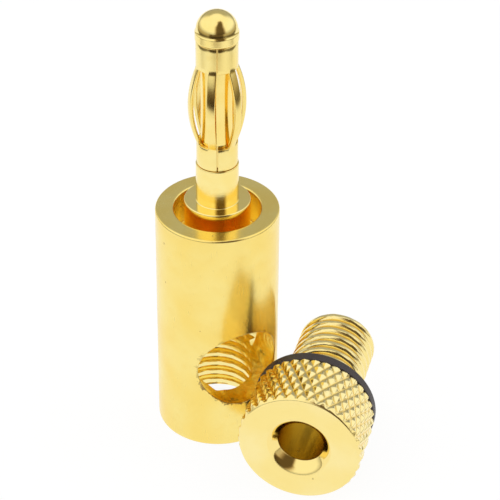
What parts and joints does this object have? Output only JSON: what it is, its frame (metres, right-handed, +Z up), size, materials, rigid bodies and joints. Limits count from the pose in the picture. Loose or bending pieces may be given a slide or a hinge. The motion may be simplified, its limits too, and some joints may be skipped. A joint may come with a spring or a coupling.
{
  "type": "banana plug",
  "caption": "Single-pole banana plug for loudspeaker cable: lantern-spring pin on a turned barrel with a side cable hole, and its knurled clamping screw taken off.",
  "frame": {"origin": "centre of the barrel's open end, on the surface that the plug stands on", "axes": "+Z up the plug's axis from the open end of the barrel to the tip of the pin; -Y is the front, where the spring's seam faces; +X is to the right, where the loose thumb screw lies"},
  "size_m": [0.0192, 0.0184, 0.0403],
  "materials": {
    "gold_plate": "gold plated and polished",
    "dark_ring": "satin black"
  },
  "bodies": {
    "plug": {"barrel": "gold_plate", "contact_pin": "gold_plate"},
    "spring": {"lantern_spring": "gold_plate"},
    "screw": {"thumb_screw": "gold_plate"},
    "ring": {"polarity_ring": "dark_ring"}
  },
  "joints": [
    {"name": "spring_turn", "type": "hinge", "parent": "plug", "child": "spring", "pos_m": [0, 0, 0.03185], "axis": [0, 0, 1], "continuous": true},
    {"name": "screw_lift", "type": "slide", "parent": "plug", "child": "screw", "axis": [0, 0, 1], "range_m": [0, 0.03]},
    {"name": "ring_turn", "type": "hinge", "parent": "screw", "child": "ring", "pos_m": [0.00843, -0.00618, 0.00537], "axis": [-0.2453, -0.9694, 0], "continuous": true}
  ]
}
